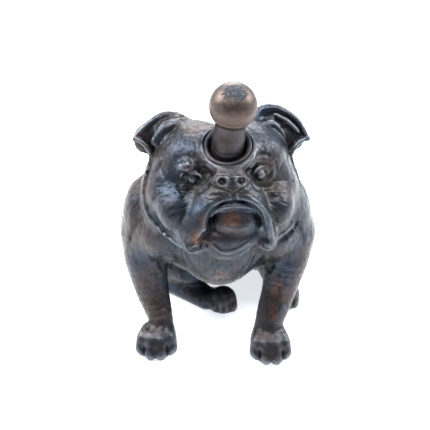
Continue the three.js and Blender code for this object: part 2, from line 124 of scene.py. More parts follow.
def curve(points, values, per=6):
    """A Catmull-Rom curve through points, with values carried along it."""
    p = np.array(points, float)
    v = np.array(values, float)
    pp = np.vstack([2 * p[0] - p[1], p, 2 * p[-1] - p[-2]])
    out, val = [], []
    for i in range(len(p) - 1):
        for s in np.linspace(0, 1, per, endpoint=False):
            a, b, c, d = pp[i : i + 4]
            bend = (2 * a - 5 * b + 4 * c - d) * s**2 + (3 * b - a - 3 * c + d) * s**3
            out.append(0.5 * (2 * b + (c - a) * s + bend))
            val.append(v[i] + (v[i + 1] - v[i]) * s)
    out.append(p[-1])
    val.append(v[-1])
    return np.array(out), np.array(val)


def nearest(grid, a, b):
    """How far along the line from a to b each grid point lies, from 0 to 1, and how far off, squared."""
    x, y, z = grid
    d = b - a
    dx, dy, dz = x - a[0], y - a[1], z - a[2]
    t = np.clip((dx * d[0] + dy * d[1] + dz * d[2]) / (d @ d + 1e-12), 0, 1)
    return t, (dx - t * d[0]) ** 2 + (dy - t * d[1]) ** 2 + (dz - t * d[2]) ** 2


def soft_min(a, b, k):
    """The lower of two distances, blended over k millimetres."""
    h = np.clip(0.5 + 0.5 * (b - a) / k, 0, 1)
    return b + (a - b) * h - k * h * (1 - h)


class Clay:
    """A distance field on a grid. Negative is inside."""

    def __init__(self, low, high, voxel):
        self.low = np.array(low, np.float32)
        self.voxel = voxel
        self.n = np.ceil((np.array(high) - self.low) / voxel).astype(int) + 1
        self.field = np.full(self.n, FAR, np.float32)
        self.whole = None  # the field before it was cut into pieces
        self.work_on(in_sculpt, np.eye(3))

    def work_on(self, place, spin):
        """What follows is placed by this function and turned by this matrix."""
        self.place = place
        self.spin = spin

    def patch(self, low, high):
        """The part of the grid between two corners, as slices and as coordinates."""
        a = np.clip(np.floor((low - self.low) / self.voxel).astype(int), 0, self.n)
        b = np.clip(np.ceil((high - self.low) / self.voxel).astype(int) + 1, 0, self.n)
        cut = tuple(slice(p, q) for p, q in zip(a, b))
        axes = [self.low[i] + self.voxel * np.arange(a[i], b[i], dtype=np.float32) for i in range(3)]
        return cut, np.meshgrid(*axes, indexing="ij", sparse=True)

    def join(self, cut, d, k, carve):
        """Adds a shape's distance to a patch, or takes it away, with a fillet of k."""
        f = self.field[cut]
        if f.size:
            self.field[cut] = -soft_min(-f, d, k) if carve else soft_min(f, d, k)

    def ball(self, c, r, k=5.0, a=(0, 0, 0), carve=False):
        """An ellipsoid of radii r about c, turned by the angles a."""
        c = self.place(c)
        r = np.broadcast_to(np.array(r, float), 3)
        m = self.spin @ turn(*a)
        reach = np.sqrt((m**2) @ (r**2)) + k + 3 * self.voxel
        cut, (x, y, z) = self.patch(c - reach, c + reach)
        dx, dy, dz = x - c[0], y - c[1], z - c[2]
        px, py, pz = (m[0, i] * dx + m[1, i] * dy + m[2, i] * dz for i in range(3))
        k0 = np.sqrt((px / r[0]) ** 2 + (py / r[1]) ** 2 + (pz / r[2]) ** 2)
        k1 = np.sqrt((px / r[0] ** 2) ** 2 + (py / r[1] ** 2) ** 2 + (pz / r[2] ** 2) ** 2) + 1e-9
        self.join(cut, (k0 * (k0 - 1) / k1).astype(np.float32), k, carve)

    def limb(self, a, ra, b, rb, k=4.0, carve=False):
        """A round bar from a to b, with radius ra at a and rb at b."""
        a, b = self.place(a), self.place(b)
        reach = max(ra, rb) + k + 3 * self.voxel
        cut, grid = self.patch(np.minimum(a, b) - reach, np.maximum(a, b) + reach)
        t, squared = nearest(grid, a, b)
        self.join(cut, (np.sqrt(squared) - ra - t * (rb - ra)).astype(np.float32), k, carve)

    def rope(self, points, radii, k=2.0, carve=False):
        """A smooth tapering cord through points, laid on as one piece."""
        pts, rad = curve([self.place(p) for p in points], np.broadcast_to(radii, len(points)), 5)
        reach = rad.max() + k + 3 * self.voxel
        cut, grid = self.patch(pts.min(0) - reach, pts.max(0) + reach)
        best = np.full(self.field[cut].shape, 1e9, np.float32)
        if best.size == 0:
            return
        for i in range(len(pts) - 1):
            t, squared = nearest(grid, pts[i], pts[i + 1])
            best = np.minimum(best, np.sqrt(squared) - rad[i] - t * (rad[i + 1] - rad[i]))
        self.join(cut, best, k, carve)

    def stroke(self, points, width, depth):
        """Pushes the skin in along a curve, or out where depth is negative."""
        n = len(points)
        shape = np.stack([np.broadcast_to(width, n), np.broadcast_to(depth, n)], 1)
        pts, par = curve([self.place(p) for p in points], shape)
        reach = 2.5 * par[:, 0].max() + 1
        cut, grid = self.patch(pts.min(0) - reach, pts.max(0) + reach)
        if self.field[cut].size == 0:
            return
        best = np.full(self.field[cut].shape, 1e9, np.float32)
        push = np.zeros(best.shape, np.float32)
        for i in range(len(pts) - 1):
            t, squared = nearest(grid, pts[i], pts[i + 1])
            w = par[i][0] + t * (par[i + 1][0] - par[i][0])
            h = par[i][1] + t * (par[i + 1][1] - par[i][1])
            new = squared / (w * w)
            push = np.where(new < best, h, push)
            best = np.minimum(best, new)
        self.field[cut] += push * np.exp(-best)

    def cut_block(self, low, high):
        low, high = np.array(low, float), np.array(high, float)
        middle, half = (low + high) / 2, (high - low) / 2
        cut, (x, y, z) = self.patch(low - 3, high + 3)
        flat = np.maximum(abs(x - middle[0]) - half[0], abs(y - middle[1]) - half[1])
        dist = np.maximum(flat, abs(z - middle[2]) - half[2])
        self.join(cut, dist.astype(np.float32), 0.3, True)

    def texture(self, spacing, depth, seed, mask):
        """Random streaks, longest along the axis with the widest spacing. Each grid draws its own."""
        rng = np.random.default_rng(seed)
        span = self.n * self.voxel
        lattice = rng.standard_normal([int(s / p) + 3 for s, p in zip(span, spacing)]).astype(np.float32)
        for axis in range(3):
            at = np.arange(self.n[axis]) * self.voxel / spacing[axis]
            i = at.astype(int)
            t = (at - i).astype(np.float32)
            t = t * t * (3 - 2 * t)
            t = t.reshape([-1 if a == axis else 1 for a in range(3)])
            lattice = lattice.take(i, axis) * (1 - t) + lattice.take(i + 1, axis) * t
        self.field += depth * lattice * mask(*self.grid())

    def grid(self):
        axes = [self.low[i] + self.voxel * np.arange(self.n[i], dtype=np.float32) for i in range(3)]
        return np.meshgrid(*axes, indexing="ij", sparse=True)

    def keep_ball(self, centre, radius, inside):
        """Keeps only what is inside, or outside, a ball."""
        if self.whole is None:
            self.whole = self.field
        x, y, z = self.grid()
        d = np.sqrt((x - centre[0]) ** 2 + (y - centre[1]) ** 2 + (z - centre[2]) ** 2) - radius
        self.field = np.maximum(self.field, d if inside else -d)

    def mesh(self):
        """Surface nets: one vertex in each cell that the skin crosses, one quad across each crossed edge.

        Gives vertices, quads, normals, and how far each vertex stands out on a fine and on a broad scale.
        """
        f = self.field
        f[[0, -1]] = 1
        f[:, [0, -1]] = 1
        f[:, :, [0, -1]] = 1
        inside = f < 0
        n = np.array(f.shape) - 1
        count = np.zeros(n, np.uint8)
        for corner in CORNERS:
            count += inside[tuple(slice(a, a + b) for a, b in zip(corner, n))]
        active = (count > 0) & (count < 8)
        cells = np.argwhere(active)
        ids = -np.ones(n, np.int64)
        ids[active] = np.arange(len(cells))
        total = np.zeros((len(cells), 3))
        hits = np.zeros(len(cells))
        for axis in range(3):
            for start in CORNERS:
                if start[axis]:
                    continue
                end = start.copy()
                end[axis] = 1
                fa = f[tuple((cells + start).T)].astype(float)
                fb = f[tuple((cells + end).T)].astype(float)
                crossed = (fa < 0) != (fb < 0)
                at = np.tile(start.astype(float), (len(cells), 1))
                at[:, axis] = np.where(crossed, fa / np.where(crossed, fa - fb, 1), 0)
                total[crossed] += at[crossed]
                hits[crossed] += 1
        verts = self.low + self.voxel * (cells + total / hits[:, None])
        quads = []
        for axis in range(3):
            u, v = (axis + 1) % 3, (axis + 2) % 3
            here, ahead = [slice(None)] * 3, [slice(None)] * 3
            here[axis], ahead[axis] = slice(0, -1), slice(1, None)
            a, b = inside[tuple(here)], inside[tuple(ahead)]
            for leaving, crossed in ((True, a & ~b), (False, ~a & b)):
                edges = np.argwhere(crossed)
                around = []
                for du, dv in ((1, 1), (0, 1), (0, 0), (1, 0)):
                    back = np.zeros(3, int)
                    back[u], back[v] = du, dv
                    around.append(ids[tuple((edges - back).T)])
                quad = np.stack(around, 1)
                quads.append(quad if leaving else quad[:, ::-1])
        fine, broad = self.relief(cells, 0.9), self.relief(cells, 3.0)
        return verts, np.concatenate(quads), self.rise((verts - self.low) / self.voxel, 0.6), fine, broad

    def rise(self, at, reach):
        """Which way the uncut field rises at points given in cells, sampled reach cells to either side."""
        total = np.zeros((len(at), 3))
        for axis in range(3):
            step = np.zeros(3)
            step[axis] = reach
            total[:, axis] = self.sample(at + step) - self.sample(at - step)
        return total / (np.linalg.norm(total, axis=1)[:, None] + 1e-9)

    def settle(self, points):
        """Moves points onto the skin."""
        for _ in range(8):
            at = (points - self.low) / self.voxel
            points = points - np.clip(self.sample(at), -3, 3)[:, None] * self.rise(at, 1.0)
        return points

    def sample(self, at):
        """The uncut field at points given in cells."""
        field = self.field if self.whole is None else self.whole
        at = np.clip(at, 0, self.n - 1.001)
        low = at.astype(int)
        t = at - low
        value = np.zeros(len(at))
        for corner in CORNERS:
            value += np.prod(np.where(corner, t, 1 - t), axis=1) * field[tuple((low + corner).T)]
        return value

    def relief(self, cells, size):
        """How far the skin stands out of its surroundings: above 0 on ridges, below 0 in creases."""
        reach = max(1, round(size / self.voxel))
        blurred = np.clip(self.whole, -4, 4)
        for _ in range(2):
            for axis in range(3):
                total = np.zeros_like(blurred)
                for step in range(-reach, reach + 1):
                    total += np.roll(blurred, step, axis)
                blurred = total / (2 * reach + 1)
        diff = blurred - np.clip(self.whole, -4, 4)
        return np.mean([diff[tuple((cells + corner).T)] for corner in CORNERS], 0)


# ---- The dog ----


def sculpt_body(c):
    """Trunk, legs, paws and tail."""
    c.ball((1, 6, 64), (41, 32, 36), 8)  # ribs
    c.ball((1, -15, 60), (21, 19, 23), 5)  # brisket
    c.ball((1, 12, 86), (38, 22, 22), 8)  # neck
    c.ball((2, 28, 60), (38, 31, 36), 8)  # back
    c.ball((0, 40, 30), (37, 28, 30), 8)  # rump
    c.ball((0, 12, 32), (27, 13, 12), 6)  # underside
    c.ball((0, 22, 22), (28, 12, 12), 6)
    c.ball((-15, 9, 26), (15, 13, 13), 6)
    c.ball((-1, 33, 12), (32, 13, 12), 6)
    c.ball((-2, 42, 4), (35, 21, 12), 5)  # seat
    for s in SIDES:
        c.ball((s * 36, 1, 64), (14.4, 19, 26), 4)  # shoulder
        c.ball((s * 29, -11, 66), (12, 13, 18), 3)  # chest muscle
    arms = (
        (-1, [(-39, -2, 58), (-38.6, -7, 44), (-36, -14, 28), (-31.2, -23, 14), (-31, -27, 7)], 6.7),
        (1, [(40.5, -2, 58), (38, -8, 44), (34, -16, 28), (28.8, -26, 14), (28, -30, 7)], 7.7),
    )
    for s, points, wrist in arms:
        c.rope(points, [12.6, 11.8, 9.3, wrist, wrist], 4)
        elbow = np.array(points[1]) + (s * 4, 7, -2)
        c.ball(elbow, (8, 9, 11), 4)
        paw(c, points[-1][0] + (1.1 if s > 0 else -2.2), points[-1][1] - 4)
    c.ball((-30, 26, 26), (17, 24, 25), 6)  # haunches
    c.ball((37, 25, 28), (16, 25, 26), 6)
    c.limb((38, 14, 12), 9.5, (42, 3, 6.5), 7.2, 4)  # left hind leg
    c.limb((-30, 15, 9), 8.5, (-6, -1, 7), 7, 5)  # right hind leg, folded across
    small_paw(c, (41.2, 2.5, 5.4), (7.2, 8.2, 6.2), -2)
    small_paw(c, (3.6, -3.6, 8), (8.2, 7.5, 9), 3)
    c.limb((3, 65, 20), 6, (-1, 68, 14), 4, 4)  # screw tail


def paw(c, x, y):
    """A fore paw with four knuckled toes."""
    c.ball((x, y + 0.6, 5.6), (10.2, 9, 6.6), 5)
    toes = ((-8, -4.2, 3.2), (-2.8, -7.6, 3.7), (3, -7.6, 3.7), (8.2, -4, 3.2))
    for dx, dy, r in toes:
        knuckle = (x + dx * 0.92, y + dy * 0.5, 9)
        c.rope([(x + dx * 0.72, y + 3, 10.5), knuckle, (x + dx, y + dy, 3.4)], [2.6, r, r * 0.98], 2.6)
        c.ball((x + dx, y + dy - 0.8, 3.2), (r * 0.98, r + 0.6, 3.6), 1.5)
        c.rope([(x + dx, y + dy - 3.4, 4.2), (x + dx, y + dy - 4.6, 2.2)], [1, 0.7], 0.8)  # claw
    for dx in (-5.5, 0.1, 5.7):  # partings of the toes
        upper = [(x + dx * 0.5, y + 4, 14), (x + dx * 0.85, y - 2, 11.5)]
        lower = [(x + dx, y - 8, 6), (x + dx, y - 11, 1)]
        c.stroke(upper + lower, [0.7, 0.75, 0.75, 0.75], [0.3, 1, 1.5, 1.2])


def small_paw(c, at, r, lean):
    """A hind paw of radii r, with four toes set over by lean."""
    x, y, z = at
    c.ball(at, r, 3)
    for dx in (-5.2, -1.7, 1.9, 5.3):
        c.ball((x + dx + lean * 0.2, y - r[1] + 2.8 + abs(dx) * 0.25, z - 1.6), (2.6, 3.6, 3.8), 1.4)
    for dx in (-3.4, 0.1, 3.6):
        front = y - r[1]
        line = [(x + dx * 0.6, y + 1, z + r[2]), (x + dx, front + 2, z + 2), (x + dx, front - 1, z - 4)]
        c.stroke(line, 0.8, [0.3, 0.8, 0.8])


def mirror(s, points):
    """The same points on side s of the head."""
    return [(s * x, y, z) for x, y, z in points]


def sculpt_head(c):
    """Skull, muzzle, mouth, nose, eyes and ears, worked in the head's own space."""
    c.work_on(on_head, HEAD_TURN)
    for s in SIDES:
        c.ball((s * 13, 0, 9), (20.5, 24, 19.5), 7)  # skull
        c.ball((s * 23.5, -3, -7), (15, 17, 18), 7)  # cheek
        c.ball((s * 15, -14.5, 13), (11, 8, 7), 5)  # brow
        jowl = mirror(s, [(33.5, 1, 12), (37.6, -1, -5), (35, -5, -18), (28, -11, -25), (20, -20, -29)])
        c.rope(jowl, [1.6, 2.4, 2.8, 2.8, 2.4], 4)
    c.ball((0, -21, -4), (14, 10.5, 11), 5)  # muzzle
    c.ball((0, -14, -24), (18, 15, 12), 5)  # throat
    c.ball((0, -16, -13), (24, 11, 13), 5)
    for s in SIDES:
        c.ball((s * 24, -16.5, -13), (9, 9, 11), 4)
        c.ball((s * 19, -20, -23), (5.5, 7, 7), 3)
    c.ball((-6.8, -25, -7.2), (7.6, 8.6, 6.6), 3)  # flews
    c.ball((-9.6, -23, -14.4), (9.6, 10.2, 15.5), 2.5, (0, 31, 0))
    c.ball((-16, -20.5, -21), (6.5, 8, 8), 3, (0, 0, -8))
    c.ball((7.4, -25, -7.2), (8.4, 8.6, 6.6), 3)
    c.ball((12, -22.4, -14), (7.6, 9.2, 13), 3, (0, -27, 0))
    c.ball((2, -33.5, -16.6), (14.2, 9.5, 10.8), 1, carve=True)  # mouth
    c.ball((1, -31.5, -24.5), (15.5, 6.5, 6.5), 1.5, carve=True)
    for points, radii in LIPS:
        c.rope(points, radii, 1.8)
    gum = [(-9.4, -29, -13.5), (-6, -30, -10.6), (2.5, -31.1, -9.4), (10.6, -30, -10.8), (14.4, -29, -14)]
    c.rope(gum, 1.5, 0.8)
    c.ball((3, -24.2, -17.4), (11.9, 8.3, 8.8), 1)  # lower lip
    c.ball((2.8, -26, -13.2), (10.2, 5.8, 4.4), 1.5)
    c.ball((1.5, -22.9, -25.6), (15.5, 7.4, 6.8), 1.6)  # jaw
    c.ball((0, -20.5, -31), (11.5, 8, 6.5), 3)  # chin
    mouth_lines(c)
    c.ball((-17, -24.2, -28.6), (4.4, 4.2, 3.2), 1.8)  # tips of the flews
    c.ball((-15.6, -29.6, -30.2), (3, 2.4, 1.3), 0.5, (0, 8, 0), carve=True)
    c.ball((18.6, -23.4, -28.4), (4.4, 4.4, 3.8), 1.6)
    c.rope([(-20.8, -26, -27), (-19.4, -26.6, -31.2), (-15, -26.6, -32), (-11.2, -26.6, -29.8)], 0.7, 0.8)
    c.rope([(22.6, -24.5, -26), (22.8, -24.4, -30.2), (18.8, -25.6, -32.2), (14.8, -26.4, -30.2)], 0.6, 0.8)
    nose(c)
    for s in SIDES:
        eye(c, s)
        ear(c, s)
        folds(c, s)
    c.work_on(in_sculpt, np.eye(3))
    collar_swell(c)
    forehead_lines(c)


LIPS = (  # the upper lip's edge on either side, as points and radii
    ([(0.5, -31.4, -4.6), (-5.5, -31.4, -6), (-10.4, -30.6, -9.8), (-12.9, -29.2, -15.2),
      (-14.9, -28.4, -20.5), (-17.4, -26.6, -25.5), (-18.8, -24.8, -28.5)], [1.8, 2, 2.3, 2.5, 2.5, 2.4, 2]),
    ([(0.5, -31.4, -4.6), (6, -31.6, -5.4), (11.4, -31.2, -8.4), (15.6, -29.9, -13.2), (17.7, -28.7, -19),
      (19.2, -26.8, -24.6), (20, -24.6, -28.5)], [1.8, 1.9, 2.1, 2.1, 1.9, 2, 1.8]),
)


def mouth_lines(c):
    """Creases about the lips and chin, and ridges where the depth is below 0."""
    lines = (
        # Inner edges of the flews
        ([(-11.5, -31.5, -15.5), (-12.6, -30.6, -20.5), (-15.2, -29, -25.5)], 0.55, 0.8),
        ([(-8.4, -33, -9.4), (-10.6, -32.2, -12.6), (-11.5, -31.5, -15.5)], 0.5, 0.5),
        ([(9.5, -32.6, -8.9), (13.4, -31.6, -13), (15.7, -30.4, -19), (17.2, -28.6, -24.6)], 0.5, 0.8),
        # Outer edge of the left flew
        ([(8.5, -33.2, -4.6), (14.2, -32, -8.4), (18.4, -29.8, -13), (20.6, -28, -19), (22.2, -25.8, -24.5)],
         0.9, [0, 0.4, 1.2, 1.3, 0.9]),
        ([(12, -33, -8), (17.2, -31.4, -13.2), (19.2, -30, -19), (20.9, -27.8, -24.6), (21.8, -25.6, -28)],
         0.6, -0.5),
        # Wrinkles of the lower lip
        ([(-6.5, -31.6, -14.6), (3, -33, -13.4), (12.6, -31.4, -14.8)], 0.6, 0.4),
        ([(-7.5, -32, -17), (3, -33.2, -16.2), (13.2, -31.8, -17.2)], 0.6, 0.45),
        ([(-6.5, -32, -19.4), (3, -33.2, -18.9), (12.6, -31.8, -19.4)], 0.55, 0.4),
        ([(-7, -30.5, -12.6), (2.5, -32, -11.3), (12.2, -30.5, -12.8)], 0.55, -0.35),
        ([(-8.6, -30, -21.6), (2.5, -31.6, -22.8), (13.6, -30, -21.8)], 0.8, 0.6),
        # Corners of the jaw
        ([(-12, -29, -23), (-13.8, -28, -27)], 0.7, 0.7),
        ([(15, -29, -23.4), (15.4, -28, -27)], 0.7, 0.7),
        # Chin
        ([(-8, -28.6, -29), (-4.6, -28.8, -31.8), (-0.6, -29, -32.2), (3.8, -29.2, -31), (8.2, -29.6, -28)],
         0.65, -0.7),
        ([(-7, -29.2, -27.8), (-3.6, -29.6, -30.2), (0, -29.8, -30.5), (3.4, -29.8, -29.6),
          (7.2, -30, -27.4)], 0.6, 0.6),
        ([(-5, -28, -33.6), (-1, -28.2, -34.2), (4, -28.4, -33.2), (9, -28, -30.4)], 0.6, 0.6),
    )
    for points, width, depth in lines:
        c.stroke(points, width, depth)


def nose(c):
    """A broad pad with two round nostrils, its wings, and the parting below it."""
    c.ball((0, -29.8, 1.6), (9, 4.8, 5.6), 4)
    c.ball((0, -29.2, -3.2), (9, 4.6, 4), 2.5)
    for s in SIDES:
        centre = np.array((s * 4.4 - 0.3, -34.4, 2.1))
        ring = []
        for angle in np.linspace(0, 2 * math.pi, 11):
            ring.append(centre + (2.3 * math.cos(angle), 0.3 * abs(math.cos(angle)), 2.2 * math.sin(angle)))
        c.rope(ring, 0.5, 1.4)  # rim of the nostril
        c.ball(centre + (0, -0.4, 0), (1.6, 1.9, 1.5), 0.5, carve=True)
        c.ball(centre + (s * 0.2, 1.1, 0.1), (0.9, 1, 0.8), 0.4)
    c.stroke([(-0.2, -35, 4.6), (-0.2, -35.4, 1.5), (0, -35, -1.5)], 0.8, 0.6)
    c.stroke([(-10.5, -29.5, 0.2), (-7.5, -32.4, -1), (-4, -34.4, -1.3), (0.4, -34.4, -3.6)], 0.65, 1)
    c.stroke([(9.5, -30.5, 1.2), (7.5, -32.6, 0), (4.4, -34.3, -1.2), (0.4, -34.4, -3.6)], 0.65, 1)
    c.stroke([(0.4, -34.4, -3.2), (0.8, -33.6, -5), (1.2, -33, -7.4)], 0.7, 1.1)  # parting of the upper lip
    top = [(-7, -29.5, 6), (-3.5, -31.4, 6.4), (0, -32, 5.6), (3.5, -31.4, 6.4), (7, -29.5, 6.2)]
    c.stroke(top, 0.8, 0.3)


def eye(c, s):
    """A small round eye between thin lids, in a shallow socket with folds about it."""
    at = np.array((-17.8, -24.6, 2.6) if s < 0 else (15.9, -25.2, 3.9))
    out = np.array((s * 0.45, -0.89, 0.05))
    side = np.array((0.89, s * 0.45, 0))
    rise = np.array((0, 0.05, 1))

    def ring(across, up, low, high, count, lift):
        """An arc about the eye, between two angles counted up from the dog's left."""
        points = []
        for angle in np.radians(np.linspace(low, high, count)):
            points.append(at + across * math.cos(angle) * side + up * math.sin(angle) * rise + lift * out)
        return points

    c.ball(at + 1.9 * out, (4.8, 2.7, 3.6), 2.4, carve=True)
    c.ball(at - (3.1 if s < 0 else 2.3) * out, 2.7, 1.2)
    if s < 0:
        c.ball(at + (-1, 1, 5.2), (4.8, 3.2, 3), 3)  # the brow, low over the eye
        c.rope(ring(5.4, 2.9, 175, 5, 7, -0.4), [0.5, 0.8, 1, 1.1, 1, 0.8, 0.5], 0.9)  # heavy upper lid
        c.stroke(ring(6.2, 4.4, 170, 10, 7, 0.2), 0.55, 0.6)
    else:
        c.rope(ring(4.1, 3.2, 175, 5, 7, -1.3), [0.3, 0.5, 0.7, 0.8, 0.7, 0.5, 0.3], 1.2)  # upper lid
        brow = ring(7.4, 7.4, 150, -5, 9, -1.3)
        c.rope(brow, [0.4, 0.7, 0.9, 1, 1.1, 1, 0.8, 0.6, 0.4], 1.6)
        c.stroke(ring(5.8, 5.4, 175, 0, 9, 0.2), 0.6, 0.7)
        c.stroke(ring(9.2, 9.4, 160, 10, 9, -0.6), 0.8, 0.55)
    c.stroke(ring(6, 4.7, 190, 350, 9, 0), 0.6, 0.5)
    c.stroke(ring(7.2, 6.4, 205, 345, 9, -0.4), 0.55, -0.5)
    c.stroke(ring(8.6, 8.2, 215, 340, 9, -0.8), 0.7, 0.6)


def ear(c, s):
    """A rose ear: a folded leaf, hollow in front, with a rolled rim."""
    sink = 1.6 if s < 0 else -1.8
    tip, rise = (42.6, 19.4) if s < 0 else (43.8, 18.8)
    lean = (0, s * 34, 0)
    c.ball((s * 25, 4, 23.5), (10, 5.5, 7), 4, (0, s * 14, 0))  # root
    c.ball((s * 33.5, 2.5, 21.5 - sink), (10, 4.2, 7.6), 3, lean)  # leaf
    c.ball((s * 33, -3.4, 20.5 - sink), (8.2, 3.8, 5.2), 1.2, lean, carve=True)
    c.ball((s * 38.4, -3.6, rise + 0.6), (3.4, 2.8, 2.8), 1, lean, carve=True)
    top = [(16.5, 2, 25.5), (21, 3, 30.6 - sink), (27, 2, 32.2 - sink), (33.5, 0, 29.8 - sink)]
    top += [(39.5, -1.6, 25.0 - sink), (tip, -2.2, rise)]
    c.rope(mirror(s, top), [3.4, 3, 2, 1.6, 1.5, 1.2], 1.4)
    under = [(tip, -2.2, rise), (40.4, -3.4, rise - 0.8), (37.6, -3.9, rise - 3), (35.4, -3.4, rise - 6.4)]
    under += [(33.4, -1.6, rise - 10)]
    c.rope(mirror(s, under), [1.2, 1.2, 1.3, 1.4, 1.2], 1.2)
    fold = [(19.5, -4, 24.5), (24.5, -6, 26), (28.6, -5.5, 21.5), (31, -4.5, 14), (33.5, -3, 8)]
    c.rope(mirror(s, fold), [1.8, 2.4, 2.4, 2, 1.4], 1.6)
    c.ball((s * 36.2, 0.8, rise + 0.4), (7, 2.8, 6.6), 2, (0, s * 20, 0))  # back of the leaf
    c.ball((s * 30, 3, 27.0 - sink), (9, 2.8, 5.5), 2, (0, s * 26, 0))
    if s > 0:
        vein = [(27, -2, 29 - sink), (33, -3.6, 25.5 - sink), (38.4, -4, 20.5 - sink)]
        c.rope(mirror(s, vein), [1, 1.2, 0.8], 2)
    else:
        flap = [(22, -1, 28.6 - sink), (28.5, -4, 26.0 - sink), (33, -5, 20 - sink)]
        c.rope(mirror(s, flap), [2.8, 3, 2], 3)
    c.stroke(mirror(s, [(22, -2, 29.4), (28, -3, 28), (33, -4.5, 22)]), 0.7, 0.7)


def folds(c, s):
    """Folds of the face: beside the nose, between the brows, down the cheek, and along the jowls' edge."""
    lines = [
        ([(8.8, -28.5, 2.5), (11.5, -29, -1), (16, -27.4, -3.6), (21, -23.5, -6.5), (25, -19.5, -11)],
         [0.9, 1.1, 1.3, 1.4, 1.6], [0.6, 1.1, 1, 0.7, 0.2]),
        ([(7, -28, 13), (6, -29, 9), (8.6, -28.6, 4)], 1, 0.6),
        ([(28, -14, 12), (31.5, -12, 4), (32, -12, -6), (30, -14, -15)],
         [1, 1.2, 1.2, 1], [0.3, 0.6, 0.6, 0.3]),
        ([(34.5, -2, 13), (37.8, -3.6, 4), (39.6, -4.4, -6), (37, -8.4, -18), (29.5, -14.4, -26.5),
          (21, -22, -31)], 0.7, -1.1),
        ([(37, 1, 12), (40.6, -1, 2), (41.4, -2, -8), (38.6, -6, -20), (31, -11.5, -29), (22, -19, -34)],
         1.5, 1.3),
    ]
    for i in range(4):
        points = [(14 + i, -22.5 + i, 16 + 3 * i), (21, -18 + i, 17 + 3 * i), (27.5, -12 + i, 14 + 3 * i)]
        lines.append((points, 0.6, 0.35))
    for points, width, depth in lines:
        c.stroke(mirror(s, points), width, depth)


def collar_swell(c):
    """The forehead swells up to the collar's rim."""
    c.rope([on_rim(12.4, angle, -1.7) for angle in np.linspace(0, 2 * math.pi, 13)], 2, 3)


def forehead_lines(c):
    """Fine rings in the skin round the collar, each on the skin itself."""
    for i in range(7):
        first, last = 150 + 6 * i, 395 - 7 * i  # degrees, counted from the dog's left
        points = [on_rim(17 + 2.3 * i, angle) for angle in np.radians(np.arange(first, last, 6))]
        points = c.settle(np.array(points))
        for a, b in zip(points[:-2:2], points[2::2]):
            groove(c, a, b, 0.38, 0.34)


def bib(c):
    """Combed locks down the chest, and the folds beside them."""
    for i in range(8):
        x = 21 - 2.7 * i
        low = 62 - 2.4 * i
        for s in SIDES:
            top = (2 + s * x, -27 + 0.3 * x, 76 - 0.6 * i)
            middle = (2 + s * (x - 2), -34 + 0.35 * x, low)
            end = (2 + s * max(x - 11, 1), -35 + 0.1 * x, low - 11)
            c.stroke([top, middle, end], [0.7, 0.9, 0.7], [0.3, 0.8, 0.4])
    for s in SIDES:
        edge = [(2 + s * 19, -30, 78), (1 + s * 21.5, -25, 66), (s * 18, -27, 53), (s * 9, -30, 43)]
        c.stroke(edge, [1, 1.8, 1.8, 1.2], [0.4, 1.8, 1.7, 0.8])
        ridge = [(2 + s * 16.5, -32, 77), (1 + s * 18.5, -28.5, 65), (s * 15, -30, 52), (s * 6, -32, 42)]
        c.stroke(ridge, 0.8, [-0.2, -0.6, -0.6, -0.2])
        c.stroke([(s * 30, -16, 60), (s * 31, -15, 50), (s * 28, -16, 42)], 1.4, 0.9)
        c.stroke([(s * 40, -16, 76), (s * 44, -14, 64), (s * 44, -12, 52)], 1.6, 0.7)
        c.stroke([(s * 47, 4, 60), (s * 47, 0, 48), (s * 42, -3, 38)], 1.8, 0.9)


def comb(p):
    """Which way the hair lies at a point."""
    from_nose = p - on_head((0, -32, 0))
    reach = np.linalg.norm(from_nose)
    if p[2] > 104 and p[1] < 12:  # round the collar
        around = np.cross(RIM_NORMAL, p - COLLAR_AT)
        return around / (np.linalg.norm(around) + 1e-9)
    if reach < 44 and p[2] > 70:  # away from the nose
        return from_nose / reach + np.array([0, 0.2, -0.25])
    if p[1] < -18 and abs(p[0]) < 26 and p[2] > 38:  # down and in, on the chest
        return np.array([-0.45 * np.sign(p[0] - 1), 0, -1])
    return np.array([0.15 * np.sign(p[0]), 0.35, -1])


def hairs(c):
    """Short fine grooves all over the skin, laid along the comb. Most of the random points miss the skin."""
    rng = np.random.default_rng(HAIR_SEED)
    low, high = np.array([-56, -50, 10]), np.array([58, 72, 132])
    points = low + (high - low) * rng.random((HAIRS, 3))
    lengths = rng.uniform(4, 11, HAIRS)
    depths = rng.uniform(0.15, 0.48, HAIRS)
    widths = rng.uniform(0.3, 0.45, HAIRS)
    cells = np.round((points - c.low) / c.voxel).astype(int)
    inside = ((cells > 1) & (cells < c.n - 2)).all(1)
    for i in np.flatnonzero(inside):
        u, v, w = cells[i]
        if abs(c.field[u, v, w]) > HAIR_REACH:
            continue
        near = c.field[u - 1 : u + 2, v - 1 : v + 2, w - 1 : w + 2]
        after = np.array([near[2, 1, 1], near[1, 2, 1], near[1, 1, 2]])
        slope = after - np.array([near[0, 1, 1], near[1, 0, 1], near[1, 1, 0]])
        slope /= np.linalg.norm(slope) + 1e-9
        p = points[i]
        way = comb(p)
        way = way - (way @ slope) * slope
        size = np.linalg.norm(way)
        if size < 0.15 or muzzle(p) < 1:
            continue
        half = way / size * lengths[i] / 2
        groove(c, p - half, p + half, widths[i], depths[i])


def muzzle(p):
    """Below 1 on the bare skin round the nose and lips."""
    q = HEAD_TURN.T @ (p - HEAD_AT)
    return (q[0] / 22) ** 2 + ((q[1] + 30) / 14) ** 2 + ((q[2] + 11) / 21) ** 2


def groove(c, a, b, width, depth):
    """A straight scratch that fades out towards both ends."""
    reach = 2 * width + 0.3
    cut, grid = c.patch(np.minimum(a, b) - reach, np.maximum(a, b) + reach)
    t, squared = nearest(grid, a, b)
    c.field[cut] += (depth * 4 * t * (1 - t) * np.exp(-squared / width**2)).astype(np.float32)


